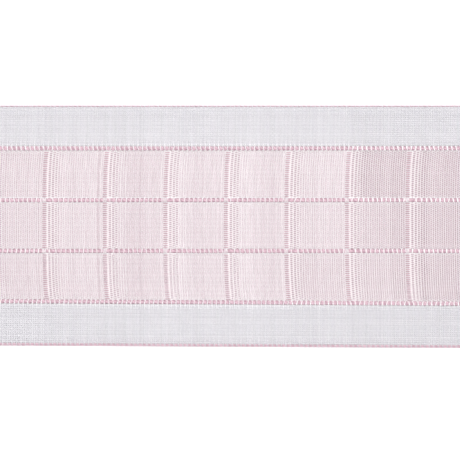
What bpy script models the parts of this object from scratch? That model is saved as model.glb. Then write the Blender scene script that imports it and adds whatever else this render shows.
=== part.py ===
"""A cut length of woven ribbon, lying face up.

The ribbon is woven in one piece: two sheer borders, and between them a panel of three rows of
checks. Four thick cords run along the panel, and across it the weave opens every check into a
ladder line. The model is one closed sheet: its underside lies flat on the surface, and its face
carries the cords, the selvedges, the crown of each check and the ladder lines as low relief.

The length runs along X and the face looks up. The origin is under the middle of the sheet.
"""
import bmesh
import bpy

# Driving sizes, in metres
WIDTH = 0.038
CHECK_PITCH = 0.00952
CHECKS = 10
SHEET_THICKNESS = 0.001

# The four cords: their places across the width, and their own size
CORD_PLACES = (-0.01205, -0.00395, 0.00408, 0.0122)
CORD_WIDTH = 0.0008
CORD_RISE = 0.0003

# The pink edge threads
SELVEDGE_WIDTH = 0.0005
SELVEDGE_RISE = 0.0002

# The front of the ribbon spreads a little towards +X, from the third cord outwards
FRONT_SPREAD = 0.0054

# Ladder lines and the checks between them
LADDER_WIDTH = 0.0009
LADDER_DEPTH = 0.00015
LADDER_BOW = 0.00042
CHECK_CROWN = 0.0001

LENGTH = CHECKS * CHECK_PITCH
HALF_LENGTH = LENGTH / 2
HALF_WIDTH = WIDTH / 2
PANEL_FRONT = CORD_PLACES[0]
PANEL_BACK = CORD_PLACES[-1]
PANEL_MIDDLE = (PANEL_FRONT + PANEL_BACK) / 2
SPREAD_FROM = CORD_PLACES[1]
CENTRING = FRONT_SPREAD * HALF_LENGTH / 2

# A ladder's cross-section: place in ladder widths from its middle, and share of its depth
LADDER_SECTION = (
    {"at": -1.0, "depth": 0.0},
    {"at": -0.5, "depth": 1.0},
    {"at": 0.5, "depth": 1.0},
    {"at": 1.0, "depth": 0.0},
)

# A cord's cross-section: place in cord widths from its middle, and share of its rise
CORD_SECTION = (
    {"at": -0.5, "rise": 0.0},
    {"at": -0.3, "rise": 0.8},
    {"at": 0.0, "rise": 1.0},
    {"at": 0.3, "rise": 0.8},
    {"at": 0.5, "rise": 0.0},
)

# A selvedge's cross-section: place in selvedge widths from the edge, and share of its rise
SELVEDGE_SECTION = (
    {"at": 0.0, "rise": 0.5},
    {"at": 0.5, "rise": 1.0},
    {"at": 1.0, "rise": 0.0},
)

# Rows of points across a stretch of plain weave, as shares of the stretch
SHEER_ROWS = (0.5,)
PANEL_ROWS = (0.2, 0.5, 0.8)

MATERIALS = {
    "sheer_weave": {"colour": (0.79, 0.77, 0.81), "roughness": 0.6},
    "panel_weave": {"colour": (0.85, 0.75, 0.79), "roughness": 0.55},
    "pink_cord": {"colour": (0.58, 0.36, 0.44), "roughness": 0.5},
}


def laid(x, y):
    """Where a point of the straight weave lies: ladders bowed, front spread, ribbon centred."""
    across = min(1.0, abs(y - PANEL_MIDDLE) / (PANEL_BACK - PANEL_MIDDLE))
    straight_ends = 1 - (x / HALF_LENGTH) ** 8
    lying_x = x + straight_ends * LADDER_BOW * across**4
    share = min(1.0, max(0.0, (SPREAD_FROM - y) / (SPREAD_FROM - PANEL_FRONT)))
    return lying_x, y - share * FRONT_SPREAD * lying_x + CENTRING


def columns():
    """Places along the length, each with its share of a ladder's depth and of a check's crown."""
    rows = [{"x": -HALF_LENGTH, "depth": 0.0, "crown": 1.0}]
    for check in range(CHECKS):
        ladder = -HALF_LENGTH + (check + 0.5) * CHECK_PITCH
        for point in LADDER_SECTION:
            rows.append({"x": ladder + point["at"] * LADDER_WIDTH, "depth": point["depth"], "crown": 0.0})
        rows.append({"x": ladder + CHECK_PITCH / 2, "depth": 0.0, "crown": 1.0})
    return rows


def stretch(start, end, shares, panel):
    """Rows of points over plain weave between two cords, or between a cord and a selvedge."""
    rows = []
    for share in shares:
        crown = 4 * share * (1 - share) if panel else 0.0
        rows.append({"y": start + share * (end - start), "rise": 0.0, "ladder": panel, "crown": crown})
    return rows


def lines():
    """Places across the width, front to back, each with its relief."""
    half_cord = CORD_WIDTH / 2
    rows = []
    for point in SELVEDGE_SECTION:
        y = -HALF_WIDTH + point["at"] * SELVEDGE_WIDTH
        rows.append({"y": y, "rise": point["rise"] * SELVEDGE_RISE, "ladder": False, "crown": 0.0})
    last = -HALF_WIDTH + SELVEDGE_WIDTH
    for place in CORD_PLACES:
        panel = place != CORD_PLACES[0]
        rows += stretch(last, place - half_cord, PANEL_ROWS if panel else SHEER_ROWS, panel)
        for point in CORD_SECTION:
            y = place + point["at"] * CORD_WIDTH
            rows.append({"y": y, "rise": point["rise"] * CORD_RISE, "ladder": False, "crown": 0.0})
        last = place + half_cord
    rows += stretch(last, HALF_WIDTH - SELVEDGE_WIDTH, SHEER_ROWS, False)
    for point in reversed(SELVEDGE_SECTION):
        y = HALF_WIDTH - point["at"] * SELVEDGE_WIDTH
        rows.append({"y": y, "rise": point["rise"] * SELVEDGE_RISE, "ladder": False, "crown": 0.0})
    return rows


def face_height(column, line):
    """Height of the ribbon's face over the surface, where a column and a line meet."""
    height = SHEET_THICKNESS + line["rise"]
    height += CHECK_CROWN * column["crown"] * line["crown"]
    if line["ladder"]:
        height -= LADDER_DEPTH * column["depth"]
    return height


def surface_of(y):
    """Which material a strip of the face has, from the middle of the strip."""
    for place in CORD_PLACES:
        if abs(y - place) < CORD_WIDTH / 2:
            return "pink_cord"
    if abs(y) > HALF_WIDTH - SELVEDGE_WIDTH:
        return "pink_cord"
    return "panel_weave" if PANEL_FRONT < y < PANEL_BACK else "sheer_weave"


def make_material(name, colour, roughness):
    """A plain Principled material."""
    material = bpy.data.materials.new(name)
    material.use_nodes = True
    shader = material.node_tree.nodes["Principled BSDF"]
    shader.inputs["Base Color"].default_value = (*colour, 1.0)
    shader.inputs["Roughness"].default_value = roughness
    shader.inputs["Metallic"].default_value = 0.0
    material.diffuse_color = (*colour, 1.0)
    return material


def make_ribbon():
    """The ribbon as one closed sheet: relief on its face, a plain underside."""
    mesh = bpy.data.meshes.new("ribbon")
    slots = list(MATERIALS)
    for name in slots:
        mesh.materials.append(make_material(name, **MATERIALS[name]))

    along = columns()
    across = lines()
    sheet = bmesh.new()
    face = []
    under_front = []
    under_back = []
    for column in along:
        row = []
        for line in across:
            row.append(sheet.verts.new((*laid(column["x"], line["y"]), face_height(column, line))))
        face.append(row)
        for edge, under in ((row[0], under_front), (row[-1], under_back)):
            under.append(sheet.verts.new((edge.co.x, edge.co.y, 0.0)))

    for near, far in zip(face, face[1:]):
        for place in range(len(across) - 1):
            strip = sheet.faces.new((near[place], far[place], far[place + 1], near[place + 1]))
            middle = (across[place]["y"] + across[place + 1]["y"]) / 2
            strip.material_index = slots.index(surface_of(middle))

    edge_slot = slots.index("sheer_weave")
    for step in range(len(along) - 1):
        here, there = step, step + 1
        underside = (under_front[here], under_back[here], under_back[there], under_front[there])
        front = (under_front[here], under_front[there], face[there][0], face[here][0])
        back = (under_back[there], under_back[here], face[here][-1], face[there][-1])
        for corners in (underside, front, back):
            sheet.faces.new(corners).material_index = edge_slot
    cut_left = [under_front[0], *face[0], under_back[0]]
    cut_right = [under_back[-1], *reversed(face[-1]), under_front[-1]]
    for corners in (cut_left, cut_right):
        sheet.faces.new(corners).material_index = edge_slot

    bmesh.ops.recalc_face_normals(sheet, faces=sheet.faces)
    sheet.to_mesh(mesh)
    sheet.free()
    ribbon = bpy.data.objects.new("ribbon", mesh)
    bpy.context.collection.objects.link(ribbon)
    return ribbon


def main():
    for old in list(bpy.data.objects):
        bpy.data.objects.remove(old, do_unlink=True)
    make_ribbon()


main()
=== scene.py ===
"""A cut length of woven ribbon, thread by thread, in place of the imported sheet.

The ribbon is plain weave from edge to edge. White picks cross it and turn back round the pink edge
threads. Along it run white ends in the two borders, fine pink ends in the panel, and four thick
pink cords that divide the panel into rows. In every check four picks leave the plain weave: they
share one shed, bunched under every second pink end, which floats across them as the rungs of a
ladder line, and they pass over the two middle cords.

Places in the flat weave are u along the length, v across the width and w up from the surface.
"""
import math

import bpy
import numpy as np
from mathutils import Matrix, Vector


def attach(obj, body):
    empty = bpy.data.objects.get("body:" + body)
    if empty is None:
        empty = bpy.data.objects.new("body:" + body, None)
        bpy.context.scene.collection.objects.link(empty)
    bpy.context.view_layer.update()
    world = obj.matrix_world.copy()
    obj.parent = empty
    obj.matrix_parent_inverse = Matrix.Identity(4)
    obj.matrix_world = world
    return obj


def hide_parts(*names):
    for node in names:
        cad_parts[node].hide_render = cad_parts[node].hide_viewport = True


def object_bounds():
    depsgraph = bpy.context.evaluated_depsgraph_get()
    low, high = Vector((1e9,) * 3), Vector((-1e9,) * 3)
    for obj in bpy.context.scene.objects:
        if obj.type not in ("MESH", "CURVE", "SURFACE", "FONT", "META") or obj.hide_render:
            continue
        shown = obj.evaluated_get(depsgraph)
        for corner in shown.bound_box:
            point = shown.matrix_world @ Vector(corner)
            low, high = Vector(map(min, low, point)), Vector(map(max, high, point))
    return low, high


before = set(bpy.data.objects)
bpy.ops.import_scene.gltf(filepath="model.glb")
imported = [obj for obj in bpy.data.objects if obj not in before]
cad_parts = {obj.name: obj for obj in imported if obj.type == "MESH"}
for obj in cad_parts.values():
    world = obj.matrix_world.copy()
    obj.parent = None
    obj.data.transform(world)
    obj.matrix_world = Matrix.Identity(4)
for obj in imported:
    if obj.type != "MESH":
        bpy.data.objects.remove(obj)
cad_low, cad_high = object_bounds()

MM = 0.001

# The flat weave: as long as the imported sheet, with the cords' places across it
CHECKS = 10
HALF_LENGTH = (cad_high.x - cad_low.x) / 2
CHECK_PITCH = 2 * HALF_LENGTH / CHECKS
HALF_WIDTH = 19.0 * MM
CORD_PLACES = (-12.00 * MM, -3.90 * MM, 4.10 * MM, 12.25 * MM)
OUTER_CORDS = (CORD_PLACES[0], CORD_PLACES[-1])
PANEL_MIDDLE = (CORD_PLACES[0] + CORD_PLACES[-1]) / 2
PANEL_HALF = (CORD_PLACES[-1] - CORD_PLACES[0]) / 2

# How it lies: the ladder lines bow, least near the cut ends, and the front spreads towards +X, from
# the second cord outwards, with the whole centred again
LADDER_BOW = 0.42 * MM
BOW_POWER = 4
CUT_END_POWER = 8
SPREAD_FROM = CORD_PLACES[1]
CENTRING = (cad_high.y - cad_low.y) / 2 - HALF_WIDTH
FRONT_SPREAD = 2 * CENTRING / HALF_LENGTH

# Picks to a check. In the panel four of them lie bunched at the ladder line, and the distances
# between the others fade from wide ones beside it to even ones
PICKS = 27
LADDER_PICKS = 4
LADDER_PICK_PITCH = 0.155 * MM
LADDER_SHIFT = -0.055 * MM
BEFORE_LADDER = 0.57 * MM
AFTER_LADDER = 0.75 * MM
OPEN_PITCH = 0.56 * MM
OPEN_FADE = 0.62
CLOSING_PITCH = 0.37 * MM
CLOSING_FADE = 0.45
OUTERMOST_PICK = 0.08 * MM

# A pick's mean distance from its neighbours, in even distances: where it starts to stand apart,
# where it starts to count as open, and where it is fully open
EVEN_SPACING = 1.0
APART_SPACING = 1.16
OPEN_SPACING = 1.28

# Inside the outer cords the picks fan out from their even places, and all of them drift a little
FAN_LENGTH = 0.7 * MM
PICK_DRIFT = {"every": 11.0 * MM, "border": 0.003 * MM, "panel": 0.008 * MM}
SECOND_WAVE = {"turns": 2.3, "phase": 3.1, "depth": 0.5}

# Lengthwise threads. The fine ends are counted back from the last one in each row, front to back
BORDER_ENDS = 18
PANEL_ENDS = 46
PANEL_END_PITCH = 0.1574 * MM
PANEL_BACK_ENDS = (-4.409 * MM, 3.591 * MM, 11.731 * MM)
END_DRIFT = {"every": 17.0 * MM, "depth": 0.006 * MM}

# How far the threads keep from a cord and from the edges, and stand out of the cut ends
BORDER_BESIDE_CORD = 0.50 * MM
FRONT_BESIDE_EDGE = 0.46 * MM
BACK_BESIDE_EDGE = 0.22 * MM
EDGE_INSET = 0.20 * MM
TIP_LENGTH = 0.35 * MM
TIP_RAGGED = 0.15 * MM

# Sides of the tubes that the threads are made of
THREAD_SIDES = 6
FINE_END_SIDES = 3

# A pick's half width and half height where it crosses each kind of thread. Over a cord it shows as
# a fleck, which leans a little and is wider where the weave is loose
PICK_WIDE = {"edge": 0.060 * MM, "border": 0.172 * MM, "panel": 0.092 * MM, "cord": 0.068 * MM}
PICK_HIGH = {"edge": 0.050 * MM, "border": 0.040 * MM, "panel": 0.101 * MM, "cord": 0.050 * MM}
LADDER_PICK_WIDE = 0.050 * MM
LADDER_PICK_HIGH = 0.045 * MM
LOOSE_NARROWING = 0.20
TOOTH_WIDE = 0.105 * MM
LOOSE_FLECK_WIDE = 0.100 * MM
FLECK_UNEVEN = 0.20
FLECK_LEAN = 0.05 * MM

# In the panel a pick's path has a point at every fourth fine end that is clear of the cords
PANEL_STOP_STEP = 4
CLEAR_OF_CORD = 0.7 * MM

# Heights of the pick's middle where it passes over and under each kind of thread. It runs level
# through the panel, where the fine ends do the bending. At a cord it has points on the cord's
# shoulders and at its foot, given as shares of its half width. In the border, beside an outer cord,
# a pick that passes over the cord stands up as a tooth, and one that passes under sinks
WEAVE_HEIGHT = 0.150 * MM
FOOT_HEIGHT = 0.170 * MM
PICK_OVER = {"edge": 0.260 * MM, "border": 0.156 * MM, "panel": 0.150 * MM, "cord": 0.310 * MM}
PICK_UNDER = {"edge": 0.060 * MM, "border": 0.144 * MM, "panel": 0.150 * MM, "cord": 0.055 * MM}
LADDER_PICK_HEIGHT = 0.090 * MM
SHOULDER = 0.75
FOOT = 1.12
SHOULDER_DROP = 0.06 * MM
SHOULDER_RISE = 0.04 * MM
TOOTH_LIFT = 0.07 * MM
TOOTH_SINK = 0.04 * MM
TOOTH_LENGTH = 0.55 * MM

# The white ends of the borders: half width, half height, and how far they rise over a pick
BORDER_END = {"wide": 0.166 * MM, "high": 0.036 * MM, "swing": 0.010 * MM}

# The fine pink ends of the panel: heights over and under the picks, and half widths. They lie flat
# and wide on a pick that stands apart, and draw in round between the picks
PANEL_END_HIGH = 0.024 * MM
PANEL_END_OVER = 0.241 * MM
PANEL_END_UNDER = 0.052 * MM
RUNG_HEIGHT = 0.165 * MM
UNDER_RUNG_HEIGHT = 0.030 * MM
CLOSE_END_WIDE = 0.027 * MM
LOOSE_END_WIDE = 0.095 * MM
OPEN_END_WIDE = 0.087 * MM
RUNG_WIDE = 0.078 * MM
HIDDEN_END_WIDE = 0.0125 * MM

# Tones, from 0, a yarn's deep colour, to 1, its full colour, with painted light in some of them. In the
# border, beside an outer cord, a pick is painted lighter against the shade there: most where it passes
# over the cord and stands up as a tooth, less between the teeth. In the panel a pick is painted lighter
# at a cord's foot and in a ladder's bunch, and painted darker, as shade, where it stands apart
PICK_TONE_AND_PAINTED_LIGHT = {
    "close": 0.49,
    "open": 0.10,
    "apart": -0.04,
    "ladder": 0.20,
    "foot": 0.10,
    "loose": -0.14,
    "spread": 0.05,
}
BORDER_TONE_AND_PAINTED_LIGHT = {"plain": 0.20, "tooth": 0.80, "between": 0.35, "loose": -0.75, "spread": 0.03}
FLECK_TONE = {"plain": 0.65, "loose": 0.20}
END_TONE = {"plain": 0.87, "open": -0.87, "apart": -0.35, "rung": -0.28, "loose": -0.48, "spread": 0.07}

# Cords and edge threads are laid from strands
CORD = {"half": 0.375 * MM, "height": 0.175 * MM, "swing": 0.012 * MM, "turn": 2.1 * MM, "squeeze": 0.86}
# A cord strand's tone swings with its winding: painted light where it winds up on top, painted shade where
# it winds down
CORD_TONE_AND_PAINTED_LIGHT = {"middle": 0.50, "swing": 0.40}
CORD_STRANDS = 3
CORD_STRAND = {"wide": 0.185 * MM, "high": 0.110 * MM}
CORD_LAY = {"side": 0.190 * MM, "up": 0.035 * MM}
EDGE_STRAND = {"wide": 0.105 * MM, "high": 0.085 * MM}
FRONT_EDGE_STRANDS = (0.12 * MM, 0.33 * MM)
BACK_EDGE_STRANDS = (0.10 * MM,)
EDGE_HEIGHT = 0.155 * MM
EDGE_SWING = 0.020 * MM
EDGE_TONES = (0.8, 1.0)

# Where the weave lies looser: towards +X, a first share from one ladder line on and the rest over a
# stretch of its own in each row, front to back, and a little towards -X
FIRST_LOOSE = 4.5 * MM
FIRST_LOOSE_LENGTH = 0.8 * MM
LOOSE_ROWS = (
    {"first": 0.58, "from": 18.0 * MM, "over": 9.0 * MM},
    {"first": 0.32, "from": 10.5 * MM, "over": 16.0 * MM},
    {"first": 0.25, "from": 13.8 * MM, "over": 1.5 * MM},
)
LEFT_LOOSE = 0.50
LEFT_LOOSE_FROM = -8.0 * MM
LEFT_LOOSE_LENGTH = 34.0 * MM

# The fine ends draw in between two picks where the gap is wider than this, or the weave looser
OPEN_GAP = 0.36 * MM
CLEARLY_LOOSE = 0.25

# Colours are given as screen values
SCREEN_WHITE = 255
SCREEN_GAMMA = 2.2

# Spun yarn: how finely its fibres and dye vary, for each mm along it, how strongly they show in its
# tone, gloss and relief, and how softly it shines
FIBRES_ALONG = 1.6
FIBRES_AROUND = 3.0
FIBRE_DETAIL = 3.0
FIBRE_TONE = 0.4
FIBRE_ROUGHNESS = 0.3
DYE_ALONG = 0.3
DYE_APART = 57.0
TWIST_RELIEF = 0.5
NOISE_MIDDLE = 0.5
YARN_SHEEN_ROUGHNESS = 0.4
YARN_SHINE = 0.3
YARN_SOFT_DEPTH = 0.10 * MM
YARN_RELIEF = 0.006 * MM
YARN_RELIEF_STRENGTH = 0.3

# The stage: a white board just under the ribbon, a soft window light and an even surround
BOARD_HALF = 3.0
BOARD_DROP = 0.02 * MM
BOARD_WHITE = 0.95
BOARD_ROUGHNESS = 0.9
WINDOW_PLACE = (0.0, 0.25, 0.77)
WINDOW_ACROSS = 0.35
WINDOW_POWER = 4.2
SURROUND = 0.95

# The photo's framing
PIXEL = 0.15735 * MM
FRAME_PIXELS = 460
CAMERA_X = -4.14 * MM
CAMERA_Y = -0.47 * MM
CAMERA_HEIGHT = 0.6
CAMERA_NEAR = 0.01
CAMERA_FAR = 10.0
SENSOR_MM = 36.0

SEED = 7
random = np.random.default_rng(SEED)


def laid(u, v, w):
    """Where a point of the flat weave lies: ladders bowed, front spread, ribbon centred."""
    across = np.minimum(1.0, np.abs(v - PANEL_MIDDLE) / PANEL_HALF)
    straight_ends = np.maximum(0.0, 1 - (u / HALF_LENGTH) ** CUT_END_POWER)
    x = u + straight_ends * LADDER_BOW * across**BOW_POWER
    share = np.clip((SPREAD_FROM - v) / (SPREAD_FROM - CORD_PLACES[0]), 0, 1)
    y = v - share * FRONT_SPREAD * x + CENTRING
    return np.stack(np.broadcast_arrays(x, y, w), axis=-1)


def eased(share):
    """A soft step from 0 to 1."""
    share = np.clip(share, 0, 1)
    return share * share * (3 - 2 * share)


def wander(places, every, depth, phase):
    """A soft sideways drift along a thread: two waves that don't repeat together."""
    turns = 2 * math.pi * places / every
    second = np.sin(SECOND_WAVE["turns"] * turns + SECOND_WAVE["phase"] * phase)
    return depth * (np.sin(turns + phase) + SECOND_WAVE["depth"] * second)


def looseness(u, v):
    """How loose the weave lies, from 0 to 1."""
    own_row = np.digitize(v, CORD_PLACES[1:3])
    first = eased((u - FIRST_LOOSE) / FIRST_LOOSE_LENGTH)
    right = 0.0
    for number, row in enumerate(LOOSE_ROWS):
        rest = (1 - row["first"]) * eased((u - row["from"]) / row["over"])
        right = np.where(own_row == number, row["first"] * first + rest, right)
    left = LEFT_LOOSE * eased((LEFT_LOOSE_FROM - u) / LEFT_LOOSE_LENGTH)
    return np.maximum(right, left)


# The places of the picks
def plain_spacings():
    """The distances between the plain picks of one check, from one ladder line to the next."""
    steps = np.arange(PICKS - LADDER_PICKS - 1)
    opening = OPEN_FADE**steps
    closing = CLOSING_FADE ** steps[::-1]
    plain_length = CHECK_PITCH - BEFORE_LADDER - AFTER_LADDER
    dense_length = plain_length - OPEN_PITCH * opening.sum() - CLOSING_PITCH * closing.sum()
    dense = dense_length / (len(steps) - opening.sum() - closing.sum())
    return dense + (OPEN_PITCH - dense) * opening + (CLOSING_PITCH - dense) * closing


def pick_table():
    """Every pick, left to right: its places in the borders and the panel, and if it is a ladder's."""
    bunched = (np.arange(LADDER_PICKS) - (LADDER_PICKS - 1) / 2) * LADDER_PICK_PITCH + LADDER_SHIFT
    plain = AFTER_LADDER + np.concatenate(([0.0], np.cumsum(plain_spacings())))
    even = (np.arange(PICKS) - (LADDER_PICKS - 1) / 2) * CHECK_PITCH / PICKS
    ladders = -HALF_LENGTH + (np.arange(-1, CHECKS) + 0.5) * CHECK_PITCH
    border = (ladders[:, None] + even).ravel()
    panel = (ladders[:, None] + np.concatenate((bunched, plain))).ravel()
    in_ladder = np.tile(np.arange(PICKS) < LADDER_PICKS, CHECKS + 1)
    kept = np.abs(border) < HALF_LENGTH - OUTERMOST_PICK
    return border[kept], panel[kept], in_ladder[kept]


border_u, panel_u, in_ladder = pick_table()
pick_numbers = np.arange(len(border_u))
spacing = np.gradient(panel_u) * PICKS / CHECK_PITCH
past_apart = np.clip((spacing - APART_SPACING) / (OPEN_SPACING - APART_SPACING), 0, 1)
openness = np.where(in_ladder, 1.0, past_apart)
past_even = np.clip((spacing - EVEN_SPACING) / (APART_SPACING - EVEN_SPACING), 0, 1)
apartness = np.sqrt(past_even) * (1 - openness)

# The gaps in which the fine ends draw in: wide ones, those of the loose weave, and the one before
# a ladder line
gap_middles = (panel_u[1:] + panel_u[:-1]) / 2
row_middles = (np.array(CORD_PLACES[1:]) + np.array(CORD_PLACES[:-1])) / 2
loose_gaps = looseness(gap_middles[:, None], row_middles[None, :]).max(axis=1) > CLEARLY_LOOSE
wide_gaps = np.diff(panel_u) > OPEN_GAP
drawn_in = (wide_gaps | loose_gaps | in_ladder[1:]) & ~(in_ladder[1:] & in_ladder[:-1])
open_gaps = np.flatnonzero(drawn_in)
pick_phase = random.uniform(0, 2 * math.pi, len(border_u))


def pick_places_at(v):
    """Where every pick crosses the lines at v, as picks x lines."""
    inside = eased((PANEL_HALF - np.abs(v - PANEL_MIDDLE)) / FAN_LENGTH)
    depth = PICK_DRIFT["border"] + (PICK_DRIFT["panel"] - PICK_DRIFT["border"]) * inside
    drift = wander(v[None, :], PICK_DRIFT["every"], depth[None, :], pick_phase[:, None])
    return border_u[:, None] + (panel_u - border_u)[:, None] * inside[None, :] + drift


# The lengthwise threads
def evenly(low, high, count):
    """Even places between two bounds, half a step clear of both."""
    return low + (np.arange(count) + 0.5) * (high - low) / count


def lengthwise_threads():
    """Every thread along the ribbon, front to back: its kind and its place across the width."""
    front = (-HALF_WIDTH + FRONT_BESIDE_EDGE, CORD_PLACES[0] - BORDER_BESIDE_CORD)
    back = (CORD_PLACES[-1] + BORDER_BESIDE_CORD, HALF_WIDTH - BACK_BESIDE_EDGE)
    rows = [{"kind": "edge", "v": -HALF_WIDTH + EDGE_INSET}]
    rows += [{"kind": "border", "v": v} for v in evenly(*front, BORDER_ENDS)]
    for near, last in zip(CORD_PLACES, PANEL_BACK_ENDS):
        rows.append({"kind": "cord", "v": near})
        own = last - np.arange(PANEL_ENDS)[::-1] * PANEL_END_PITCH
        rows += [{"kind": "panel", "v": v} for v in own]
    rows.append({"kind": "cord", "v": CORD_PLACES[-1]})
    rows += [{"kind": "border", "v": v} for v in evenly(*back, BORDER_ENDS)]
    rows.append({"kind": "edge", "v": HALF_WIDTH - EDGE_INSET})
    return rows


threads = lengthwise_threads()
thread_kinds = np.array([thread["kind"] for thread in threads])
thread_v = np.array([thread["v"] for thread in threads])
inner_cords = (thread_kinds == "cord") & (np.abs(thread_v - PANEL_MIDDLE) < PANEL_HALF / 2)

# Where a pick passes over a thread: plain weave, but in the panel a ladder's picks share one shed
thread_numbers = np.arange(len(threads))
same_shed = np.concatenate(([False], in_ladder[1:] & in_ladder[:-1]))
panel_sheds = np.cumsum(~same_shed)
plain_over = (pick_numbers[:, None] + thread_numbers[None, :]) % 2 == 0
panel_over = (panel_sheds[:, None] + thread_numbers[None, :]) % 2 == 1
pick_over = np.where((thread_kinds == "panel")[None, :], panel_over, plain_over)
pick_over[in_ladder[:, None] & inner_cords[None, :]] = True


# Tubes
def tube_block(block):
    """Points, faces and yarn places of one block of threads, from paths of threads x places x 3."""
    paths = block["paths"]
    sides = block["sides"]
    count, places, _ = paths.shape
    run = np.gradient(paths, axis=1)
    run[..., 2] = 0.0
    run /= np.linalg.norm(run, axis=2, keepdims=True)
    beside = np.stack((run[..., 1], -run[..., 0], np.zeros((count, places))), axis=-1)
    lying_flat = math.pi / 6 if sides == FINE_END_SIDES else 0.0
    angle = math.pi + lying_flat - np.arange(sides) * 2 * math.pi / sides
    wide = np.broadcast_to(block["wide"], (count, places))[..., None, None]
    high = np.broadcast_to(block["high"], (count, places))[..., None, None]
    up = np.array((0.0, 0.0, 1.0))
    ring = np.cos(angle)[:, None] * beside[:, :, None, :] * wide + np.sin(angle)[:, None] * up * high
    points = (paths[:, :, None, :] + ring).reshape(-1, 3)

    index = np.arange(count * places * sides).reshape(count, places, sides)
    after = np.roll(index, -1, axis=2)
    walls = np.stack((index[:, :-1], after[:, :-1], after[:, 1:], index[:, 1:]), axis=-1).reshape(-1, 4)
    caps = index[:, 0, ::-1].tolist() + index[:, -1, :].tolist()

    steps = np.linalg.norm(np.diff(paths, axis=1), axis=2)
    along = np.concatenate((np.zeros((count, 1)), np.cumsum(steps, axis=1)), axis=1) / MM
    around = np.broadcast_to(angle, (count, places, sides))
    along = np.broadcast_to(along[..., None], (count, places, sides))
    yarn_place = np.stack((along, np.cos(around), np.sin(around)), axis=-1).reshape(-1, 3)
    tone = np.broadcast_to(block["tone"], (count, places))
    tone = np.broadcast_to(tone[..., None], (count, places, sides))
    return {
        "points": points,
        "walls": walls.tolist(),
        "caps": caps,
        "yarn_place": yarn_place.astype(np.float32),
        "tone": tone.reshape(-1).astype(np.float32),
    }


def thread_piece(name, blocks, material):
    """One piece from blocks of threads. Each point keeps its thread's tone, painted light and shade
    included, and its place on the yarn.
    """
    tubes = [tube_block(block) for block in blocks]
    faces = []
    smooth = []
    total = 0
    for tube in tubes:
        for own in (tube["walls"], tube["caps"]):
            faces += [[total + corner for corner in face] for face in own]
            smooth += [own is tube["walls"]] * len(own)
        total += len(tube["points"])
    mesh = bpy.data.meshes.new(name)
    mesh.from_pydata(np.concatenate([tube["points"] for tube in tubes]).tolist(), [], faces)
    mesh.polygons.foreach_set("use_smooth", smooth)
    yarn_place = mesh.attributes.new("yarn_place", "FLOAT_VECTOR", "POINT")
    yarn_place.data.foreach_set("vector", np.concatenate([tube["yarn_place"] for tube in tubes]).ravel())
    tone = mesh.attributes.new("tone_and_painted_light", "FLOAT", "POINT")
    tone.data.foreach_set("value", np.concatenate([tube["tone"] for tube in tubes]))
    mesh.materials.append(material)
    piece = bpy.data.objects.new(name, mesh)
    bpy.context.collection.objects.link(piece)
    return piece


# Finishes
def shade(red, green, blue):
    """A colour from its screen values."""
    return (*[(value / SCREEN_WHITE) ** SCREEN_GAMMA for value in (red, green, blue)], 1.0)


def math_node(tree, operation, first, second=None, third=None):
    """A Math node, with each input a socket or a number."""
    node = tree.nodes.new("ShaderNodeMath")
    node.operation = operation
    for socket, value in zip(node.inputs, (first, second, third)):
        if value is None:
            continue
        if isinstance(value, bpy.types.NodeSocket):
            tree.links.new(value, socket)
        else:
            socket.default_value = value
    return node.outputs["Value"]


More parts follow.
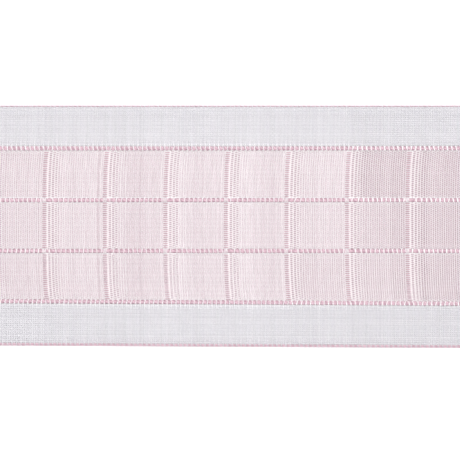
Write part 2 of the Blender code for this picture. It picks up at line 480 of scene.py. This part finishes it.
def spun_yarn_group():
    """Shader group for spun yarn: the tone of each thread with its painted light, uneven dye, twist lines
    with painted shade in their grooves, and fibres.
    """
    tree = bpy.data.node_groups.new("spun_yarn", "ShaderNodeTree")
    for name, kind in (
        ("Deep Colour", "NodeSocketColor"),
        ("Full Colour", "NodeSocketColor"),
        ("Twist Turns per mm", "NodeSocketFloat"),
        ("Painted Twist Shade", "NodeSocketFloat"),
        ("Dye Drift", "NodeSocketFloat"),
        ("Roughness", "NodeSocketFloat"),
    ):
        tree.interface.new_socket(name, in_out="INPUT", socket_type=kind)
    for name, kind in (
        ("Colour", "NodeSocketColor"),
        ("Roughness", "NodeSocketFloat"),
        ("Height", "NodeSocketFloat"),
    ):
        tree.interface.new_socket(name, in_out="OUTPUT", socket_type=kind)
    given = tree.nodes.new("NodeGroupInput").outputs
    result = tree.nodes.new("NodeGroupOutput").inputs

    tone = tree.nodes.new("ShaderNodeAttribute")
    tone.attribute_name = "tone_and_painted_light"
    place = tree.nodes.new("ShaderNodeAttribute")
    place.attribute_name = "yarn_place"
    parts = tree.nodes.new("ShaderNodeSeparateXYZ")
    tree.links.new(place.outputs["Vector"], parts.inputs["Vector"])
    along = parts.outputs["X"]

    # Twist lines wind round the yarn: painted shade in their grooves, and relief in the height
    around = math_node(tree, "ARCTAN2", parts.outputs["Z"], parts.outputs["Y"])
    turned = math_node(tree, "MULTIPLY", along, given["Twist Turns per mm"])
    winding = math_node(tree, "MULTIPLY_ADD", turned, 2 * math.pi, around)
    twist = math_node(tree, "SINE", winding)

    # Fibres are fine streaks along it
    stretched = tree.nodes.new("ShaderNodeCombineXYZ")
    tree.links.new(math_node(tree, "MULTIPLY", along, FIBRES_ALONG), stretched.inputs["X"])
    for axis in ("Y", "Z"):
        spread = math_node(tree, "MULTIPLY", parts.outputs[axis], FIBRES_AROUND)
        tree.links.new(spread, stretched.inputs[axis])
    fibres = tree.nodes.new("ShaderNodeTexNoise")
    fibres.inputs["Scale"].default_value = 1.0
    fibres.inputs["Detail"].default_value = FIBRE_DETAIL
    tree.links.new(stretched.outputs["Vector"], fibres.inputs["Vector"])
    streak = math_node(tree, "SUBTRACT", fibres.outputs["Fac"], NOISE_MIDDLE)

    # The dye took unevenly along each thread, and not alike in threads of different tone
    dye = tree.nodes.new("ShaderNodeTexNoise")
    dye.noise_dimensions = "1D"
    dye.inputs["Scale"].default_value = DYE_ALONG
    tree.links.new(math_node(tree, "MULTIPLY_ADD", tone.outputs["Fac"], DYE_APART, along), dye.inputs["W"])
    drift = math_node(tree, "SUBTRACT", dye.outputs["Fac"], NOISE_MIDDLE)

    # The twist lines' painted shade goes onto the thread's tone
    shaded = math_node(tree, "MULTIPLY_ADD", twist, given["Painted Twist Shade"], tone.outputs["Fac"])
    dyed = math_node(tree, "MULTIPLY_ADD", drift, given["Dye Drift"], shaded)
    streaked = math_node(tree, "MULTIPLY_ADD", streak, FIBRE_TONE, dyed)
    colour = tree.nodes.new("ShaderNodeMix")
    colour.data_type = "RGBA"
    tree.links.new(streaked, colour.inputs["Factor"])
    tree.links.new(given["Deep Colour"], colour.inputs["A"])
    tree.links.new(given["Full Colour"], colour.inputs["B"])
    tree.links.new(colour.outputs["Result"], result["Colour"])
    rough = math_node(tree, "MULTIPLY_ADD", streak, FIBRE_ROUGHNESS, given["Roughness"])
    tree.links.new(rough, result["Roughness"])
    tree.links.new(math_node(tree, "MULTIPLY_ADD", twist, TWIST_RELIEF, streak), result["Height"])
    return tree


spun_yarn = spun_yarn_group()


def yarn_material(name, deep, full, turns, painted_twist_shade, dye_drift, roughness, sheen, softness):
    """A yarn's finish: the shared yarn group with its own values, on a soft sheen."""
    material = bpy.data.materials.new(name)
    material.use_nodes = True
    tree = material.node_tree
    shader = tree.nodes["Principled BSDF"]
    shader.inputs["Sheen Weight"].default_value = sheen
    shader.inputs["Sheen Roughness"].default_value = YARN_SHEEN_ROUGHNESS
    shader.inputs["Specular IOR Level"].default_value = YARN_SHINE
    shader.inputs["Subsurface Weight"].default_value = softness
    shader.inputs["Subsurface Radius"].default_value = (1.0, 1.0, 1.0)
    shader.inputs["Subsurface Scale"].default_value = YARN_SOFT_DEPTH
    yarn = tree.nodes.new("ShaderNodeGroup")
    yarn.node_tree = spun_yarn
    yarn.inputs["Deep Colour"].default_value = deep
    yarn.inputs["Full Colour"].default_value = full
    yarn.inputs["Twist Turns per mm"].default_value = turns
    yarn.inputs["Painted Twist Shade"].default_value = painted_twist_shade
    yarn.inputs["Dye Drift"].default_value = dye_drift
    yarn.inputs["Roughness"].default_value = roughness
    bump = tree.nodes.new("ShaderNodeBump")
    bump.inputs["Strength"].default_value = YARN_RELIEF_STRENGTH
    bump.inputs["Distance"].default_value = YARN_RELIEF
    tree.links.new(yarn.outputs["Colour"], shader.inputs["Base Color"])
    tree.links.new(yarn.outputs["Roughness"], shader.inputs["Roughness"])
    tree.links.new(yarn.outputs["Height"], bump.inputs["Height"])
    tree.links.new(bump.outputs["Normal"], shader.inputs["Normal"])
    return material


panel_yarn = yarn_material(
    name="white_panel_yarn",
    deep=shade(176, 158, 166),
    full=shade(244, 240, 242),
    turns=1.4,
    painted_twist_shade=0.08,
    dye_drift=0.20,
    roughness=0.50,
    sheen=0.15,
    softness=0.5,
)
border_yarn = yarn_material(
    name="white_border_yarn",
    deep=shade(180, 178, 183),
    full=shade(251, 248, 251),
    turns=1.8,
    painted_twist_shade=0.06,
    dye_drift=0.15,
    roughness=0.55,
    sheen=0.15,
    softness=0.6,
)
end_yarn = yarn_material(
    name="fine_pink_yarn",
    deep=shade(128, 88, 106),
    full=shade(223, 184, 197),
    turns=2.2,
    painted_twist_shade=0.12,
    dye_drift=0.30,
    roughness=0.45,
    sheen=0.10,
    softness=0.0,
)
cord_yarn = yarn_material(
    name="pink_cord_yarn",
    deep=shade(150, 118, 130),
    full=shade(205, 176, 187),
    turns=1.1,
    painted_twist_shade=0.25,
    dye_drift=0.35,
    roughness=0.50,
    sheen=0.20,
    softness=0.3,
)


# The picks
def weft_stops():
    """Where a pick's path has a point: five at a cord, and one at each white end and some pink ends."""
    stops = []
    for number, thread in enumerate(threads):
        beside_cord = min(abs(thread["v"] - place) for place in CORD_PLACES) < CLEAR_OF_CORD
        if thread["kind"] == "panel" and (number % PANEL_STOP_STEP or beside_cord):
            continue
        shares = (-FOOT, -SHOULDER, 0.0, SHOULDER, FOOT) if thread["kind"] == "cord" else (0.0,)
        for share in shares:
            stops.append({"line": number, "v": thread["v"] + share * CORD["half"], "side": share})
    return stops


stops = weft_stops()
stop_line = np.array([stop["line"] for stop in stops])
stop_v = np.array([stop["v"] for stop in stops])
stop_side = np.array([stop["side"] for stop in stops])
stop_share = np.abs(stop_side)
stop_kinds = thread_kinds[stop_line]
stop_over = pick_over[:, stop_line]
on_cord = (stop_kinds == "cord") & (stop_share < FOOT)
lean = FLECK_LEAN * random.normal(0, 1, len(pick_numbers))
stop_u = pick_places_at(stop_v) + lean[:, None] * np.where(on_cord, stop_side, 0.0)[None, :]
in_panel = np.abs(stop_v - PANEL_MIDDLE) < PANEL_HALF
width_kinds = np.where((stop_kinds == "cord") & ~on_cord, np.where(in_panel, "panel", "tooth"), stop_kinds)
stop_loose = looseness(stop_u, stop_v[None, :])

# Whether each pick passes over the outer cord that lies nearer to each stop
front_over, back_over = (pick_over[:, thread_v == place] for place in OUTER_CORDS)
over_outer_cord = np.where((stop_v > PANEL_MIDDLE)[None, :], back_over, front_over)


def by_kind(values, kinds):
    """One value for each thread, from a table by kind."""
    return np.array([values[kind] for kind in kinds])


def held_ends(values, tip_value=None):
    """Values along threads with one more at each tip: the same value again, or the one given."""
    if tip_value is None:
        return np.concatenate((values[:, :1], values, values[:, -1:]), axis=1)
    tip = np.full((len(values), 1), tip_value)
    return np.concatenate((tip, values, tip), axis=1)


def pick_heights():
    """How high each pick runs at each stop."""
    heights = np.where(stop_over, by_kind(PICK_OVER, stop_kinds), by_kind(PICK_UNDER, stop_kinds))
    heights += np.where(stop_over, -SHOULDER_DROP, SHOULDER_RISE) * (stop_share == SHOULDER)[None, :]
    heights = np.where((stop_share == FOOT)[None, :], FOOT_HEIGHT, heights)
    floated = in_ladder[:, None] & (width_kinds == "panel")[None, :]
    heights = np.where(floated, LADDER_PICK_HEIGHT, heights)
    outside = np.abs(stop_v - PANEL_MIDDLE) - PANEL_HALF
    tooth = np.where((outside > 0) & ~on_cord, np.exp(-outside / TOOTH_LENGTH), 0.0)
    return heights + tooth[None, :] * np.where(over_outer_cord, TOOTH_LIFT, -TOOTH_SINK)


def pick_widths():
    """Half the width of each pick at each stop: narrow where a cord or a ladder line squeezes it."""
    wide = by_kind({**PICK_WIDE, "tooth": TOOTH_WIDE}, width_kinds)[None, :]
    wide = wide * (1 - LOOSE_NARROWING * stop_loose)
    fleck = PICK_WIDE["cord"] + (LOOSE_FLECK_WIDE - PICK_WIDE["cord"]) * stop_loose
    fleck = fleck * (1 + FLECK_UNEVEN * random.uniform(-1, 1, (len(pick_numbers), 1)))
    wide = np.where(on_cord[None, :], fleck, wide)
    return np.where(in_ladder[:, None] & in_panel[None, :], LADDER_PICK_WIDE, wide)


def pick_half_heights():
    """Half the height of each pick at each stop."""
    high = by_kind({**PICK_HIGH, "tooth": PICK_HIGH["border"]}, width_kinds)
    return np.where(in_ladder[:, None] & in_panel[None, :], LADDER_PICK_HIGH, high[None, :])


def pick_tones_and_light():
    """Each pick's tone at each stop: fuller on a cord and in the open weave, with painted light beside an
    outer cord, at a cord's foot and on a ladder's picks, and painted shade where a pick stands apart.
    """
    spread = random.normal(0, 1, len(pick_numbers))[:, None]
    # Picks that stand apart are painted darker, as shade
    own = PICK_TONE_AND_PAINTED_LIGHT["close"] + PICK_TONE_AND_PAINTED_LIGHT["open"] * openness + PICK_TONE_AND_PAINTED_LIGHT["apart"] * apartness
    # A ladder's picks are painted lighter against the shade of the rungs over them
    own = own + PICK_TONE_AND_PAINTED_LIGHT["ladder"] * in_ladder
    panel = own[:, None] + PICK_TONE_AND_PAINTED_LIGHT["spread"] * spread + PICK_TONE_AND_PAINTED_LIGHT["loose"] * stop_loose
    # Painted light at a cord's foot, against the shade in the crevice beside the cord
    panel = panel + PICK_TONE_AND_PAINTED_LIGHT["foot"] * (stop_share == FOOT)[None, :]
    from_panel = np.abs(stop_v - PANEL_MIDDLE) - PANEL_HALF
    # Painted light beside an outer cord: strongest on the raised teeth that pass over it, weaker between
    # them, fading where the weave is loose
    cord_light_falloff = np.exp(-((from_panel / TOOTH_LENGTH) ** 2))[None, :]
    tooth = np.where(over_outer_cord, BORDER_TONE_AND_PAINTED_LIGHT["tooth"], BORDER_TONE_AND_PAINTED_LIGHT["between"]) * cord_light_falloff
    tooth = tooth * (1 + BORDER_TONE_AND_PAINTED_LIGHT["loose"] * stop_loose)
    border = BORDER_TONE_AND_PAINTED_LIGHT["plain"] + tooth + BORDER_TONE_AND_PAINTED_LIGHT["spread"] * spread
    fleck = FLECK_TONE["plain"] + FLECK_TONE["loose"] * stop_loose
    return np.where(on_cord[None, :] & stop_over, fleck, np.where(in_panel[None, :], panel, border))


def turn_places(partner_step, edge_v):
    """Where the picks turn back round an edge thread, halfway to the pick that they turn into."""
    own = pick_places_at(np.array([edge_v]))
    partner = np.where((pick_numbers % 2 == 0), pick_numbers + partner_step, pick_numbers - partner_step)
    partner = np.clip(partner, 0, len(pick_numbers) - 1)
    return (own + own[partner]) / 2


def make_weft():
    """The picks, in one piece over the borders and one over the panel. They meet on the outer cords."""
    tone = held_ends(pick_tones_and_light())
    heights = held_ends(pick_heights(), EDGE_HEIGHT)
    wide = held_ends(pick_widths())
    high = held_ends(pick_half_heights())
    v = np.concatenate(([-HALF_WIDTH], stop_v, [HALF_WIDTH]))
    u = np.concatenate((turn_places(1, -HALF_WIDTH), stop_u, turn_places(-1, HALF_WIDTH)), axis=1)
    paths = laid(u, v[None, :], heights)

    def strip(first, last):
        own = slice(first, last + 1)
        return {
            "paths": paths[:, own],
            "wide": wide[:, own],
            "high": high[:, own],
            "sides": THREAD_SIDES,
            "tone": tone[:, own],
        }

    front_cord = int(np.argmin(np.abs(v - CORD_PLACES[0])))
    back_cord = int(np.argmin(np.abs(v - CORD_PLACES[-1])))
    both_borders = [strip(0, front_cord), strip(back_cord, len(v) - 1)]
    borders = thread_piece("border_weft", both_borders, border_yarn)
    panel = thread_piece("panel_weft", [strip(front_cord, back_cord)], panel_yarn)
    return borders, panel


# Ends, cords and edge threads
def with_tips(places, rows):
    """Places along threads, each run out past both cut ends by its own ragged tip."""
    ragged = random.uniform(-TIP_RAGGED, TIP_RAGGED, (rows, 2))
    left = -HALF_LENGTH - TIP_LENGTH + ragged[:, :1]
    right = HALF_LENGTH + TIP_LENGTH + ragged[:, 1:]
    return np.concatenate((left, places, right), axis=1)


def lying(u, v, heights):
    """Paths of lengthwise threads, each with a soft drift of its own."""
    phase = random.uniform(0, 2 * math.pi, len(v))[:, None]
    return laid(u, v[:, None] + wander(u, END_DRIFT["every"], END_DRIFT["depth"], phase), heights)


def make_border_ends():
    """The white ends of the two borders, rising over a pick and sinking under the next."""
    own = np.flatnonzero(thread_kinds == "border")
    u = with_tips(pick_places_at(thread_v[own]).T, len(own))
    rise = np.where(pick_over[:, own].T, -BORDER_END["swing"], BORDER_END["swing"])
    paths = lying(u, thread_v[own], held_ends(WEAVE_HEIGHT + rise, WEAVE_HEIGHT))
    tone = random.normal(BORDER_TONE_AND_PAINTED_LIGHT["plain"], BORDER_TONE_AND_PAINTED_LIGHT["spread"], len(own))[:, None]
    block = {
        "paths": paths,
        "wide": BORDER_END["wide"],
        "high": BORDER_END["high"],
        "sides": THREAD_SIDES,
        "tone": tone,
    }
    return thread_piece("border_ends", [block], border_yarn)


def with_gap_points(values, between=None):
    """Values along threads with one more in each open gap: its neighbours' mean, or the one given."""
    if between is None:
        between = (values[:, open_gaps] + values[:, open_gaps + 1]) / 2
    return np.insert(values, open_gaps + 1, between, axis=1)


def make_panel_ends(name, shaft):
    """The panel's pink ends on one shaft: every second one, flat over a pick and hidden under the next."""
    own = np.flatnonzero((thread_kinds == "panel") & (thread_numbers % 2 == shaft))
    places = pick_places_at(thread_v[own]).T
    over = ~pick_over[:, own].T
    ladder = in_ladder[None, :]
    heights = np.where(over, PANEL_END_OVER, PANEL_END_UNDER)
    heights = np.where(ladder, np.where(over, RUNG_HEIGHT, UNDER_RUNG_HEIGHT), heights)
    loose = looseness(places, thread_v[own][:, None])
    wide = CLOSE_END_WIDE + (LOOSE_END_WIDE - CLOSE_END_WIDE) * loose
    wide = wide + (OPEN_END_WIDE - wide) * openness[None, :]
    wide = np.where(over, np.where(ladder, RUNG_WIDE, wide), HIDDEN_END_WIDE)
    own_tone = random.normal(END_TONE["plain"], END_TONE["spread"], len(own))[:, None]
    shown = END_TONE["open"] * openness[None, :] + END_TONE["apart"] * apartness[None, :]
    shown = shown + END_TONE["loose"] * loose * (1 - openness[None, :])
    shown = np.where(ladder, END_TONE["rung"], shown)
    tone = own_tone + np.where(over, shown, 0.0)
    u = with_tips(with_gap_points(places), len(own))
    block = {
        "paths": lying(u, thread_v[own], held_ends(with_gap_points(heights), WEAVE_HEIGHT)),
        "wide": held_ends(with_gap_points(wide, HIDDEN_END_WIDE)),
        "high": PANEL_END_HIGH,
        "sides": FINE_END_SIDES,
        "tone": held_ends(with_gap_points(tone, END_TONE["plain"])),
    }
    return thread_piece(name, [block], end_yarn)


def make_cords():
    """The four cords, each laid up from three strands that wind round each other, each strand painted
    lighter where it winds up and darker where it winds down.
    """
    blocks = []
    for line in np.flatnonzero(thread_kinds == "cord"):
        under_pick = pick_over[:, line]
        u = with_tips(pick_places_at(thread_v[line : line + 1]).T, 1)
        sink = held_ends(np.where(under_pick, -CORD["swing"], CORD["swing"])[None, :], 0.0)
        squeeze = held_ends(np.where(under_pick, CORD["squeeze"], 1.0)[None, :])
        start = random.uniform(0, 2 * math.pi)
        for strand in range(CORD_STRANDS):
            winding = start + 2 * math.pi * (u / CORD["turn"] + strand / CORD_STRANDS)
            v = thread_v[line] + CORD_LAY["side"] * np.cos(winding)
            heights = CORD["height"] + CORD_LAY["up"] * np.sin(winding) + sink
            blocks.append({
                "paths": laid(u, v, heights),
                "wide": CORD_STRAND["wide"] * squeeze,
                "high": CORD_STRAND["high"] * squeeze,
                "sides": THREAD_SIDES,
                # Painted light and shade: the strand is lighter where it winds up and darker where it
                # winds down
                "tone": CORD_TONE_AND_PAINTED_LIGHT["middle"] + CORD_TONE_AND_PAINTED_LIGHT["swing"] * np.sin(winding),
            })
    return thread_piece("pink_cords", blocks, cord_yarn)


def make_edge_threads():
    """The pink edge threads: two strands side by side in front, and one at the back."""
    blocks = []
    for line, side, insets in ((0, -1, FRONT_EDGE_STRANDS), (len(threads) - 1, 1, BACK_EDGE_STRANDS)):
        u = with_tips(pick_places_at(thread_v[line : line + 1]).T, 1)
        rise = held_ends(np.where(pick_over[:, line], -EDGE_SWING, EDGE_SWING)[None, :], 0.0)
        for inset in insets:
            paths = laid(u, side * (HALF_WIDTH - inset), EDGE_HEIGHT + rise)
            tone = np.full((1, 1), random.uniform(*EDGE_TONES))
            blocks.append({"paths": paths, **EDGE_STRAND, "sides": THREAD_SIDES, "tone": tone})
    return thread_piece("pink_edge_threads", blocks, cord_yarn)


border_weft, panel_weft = make_weft()
border_ends = make_border_ends()
first_shaft_ends = make_panel_ends("first_shaft_ends", 0)
second_shaft_ends = make_panel_ends("second_shaft_ends", 1)
cords = make_cords()
edge_threads = make_edge_threads()


# The stage
def make_floor():
    """A plain white board under the ribbon."""
    mesh = bpy.data.meshes.new("white_board")
    signs = ((-1, -1), (1, -1), (1, 1), (-1, 1))
    corners = [(x * BOARD_HALF, y * BOARD_HALF, 0.0) for x, y in signs]
    mesh.from_pydata(corners, [], [(0, 1, 2, 3)])
    material = bpy.data.materials.new("white_board")
    material.use_nodes = True
    shader = material.node_tree.nodes["Principled BSDF"]
    shader.inputs["Base Color"].default_value = (BOARD_WHITE, BOARD_WHITE, BOARD_WHITE, 1.0)
    shader.inputs["Roughness"].default_value = BOARD_ROUGHNESS
    mesh.materials.append(material)
    board = bpy.data.objects.new("white_board", mesh)
    board.location.z = -BOARD_DROP
    bpy.context.collection.objects.link(board)
    return board


def make_window_light():
    """A soft round light that looks at the ribbon."""
    data = bpy.data.lights.new("window_light", "AREA")
    data.shape = "DISK"
    data.size = WINDOW_ACROSS
    data.energy = WINDOW_POWER
    light = bpy.data.objects.new("window_light", data)
    light.location = WINDOW_PLACE
    light.rotation_mode = "QUATERNION"
    light.rotation_quaternion = (-Vector(WINDOW_PLACE)).to_track_quat("-Z", "Y")
    bpy.context.collection.objects.link(light)


def make_studio():
    """An even white surround, shown without a film look."""
    world = bpy.data.worlds.new("studio")
    world.use_nodes = True
    surround = world.node_tree.nodes["Background"]
    surround.inputs["Color"].default_value = (1.0, 1.0, 1.0, 1.0)
    surround.inputs["Strength"].default_value = SURROUND
    bpy.context.scene.world = world
    bpy.context.scene.view_settings.view_transform = "Standard"


def make_camera():
    """Straight down, with the photo's framing."""
    data = bpy.data.cameras.new("camera")
    data.sensor_width = SENSOR_MM
    data.lens = SENSOR_MM * CAMERA_HEIGHT / (FRAME_PIXELS * PIXEL)
    data.clip_start = CAMERA_NEAR
    data.clip_end = CAMERA_FAR
    camera = bpy.data.objects.new("camera", data)
    camera.location = (CAMERA_X, CAMERA_Y, CAMERA_HEIGHT)
    bpy.context.collection.objects.link(camera)
    bpy.context.scene.camera = camera


floor = make_floor()
make_window_light()
make_studio()
make_camera()

# Every piece joins the root body, in place of the hidden imported ribbon
wefts = (border_weft, panel_weft)
lengthwise = (border_ends, first_shaft_ends, second_shaft_ends, cords, edge_threads)
for piece in (*wefts, *lengthwise):
    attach(piece, "root")
    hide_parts("ribbon")
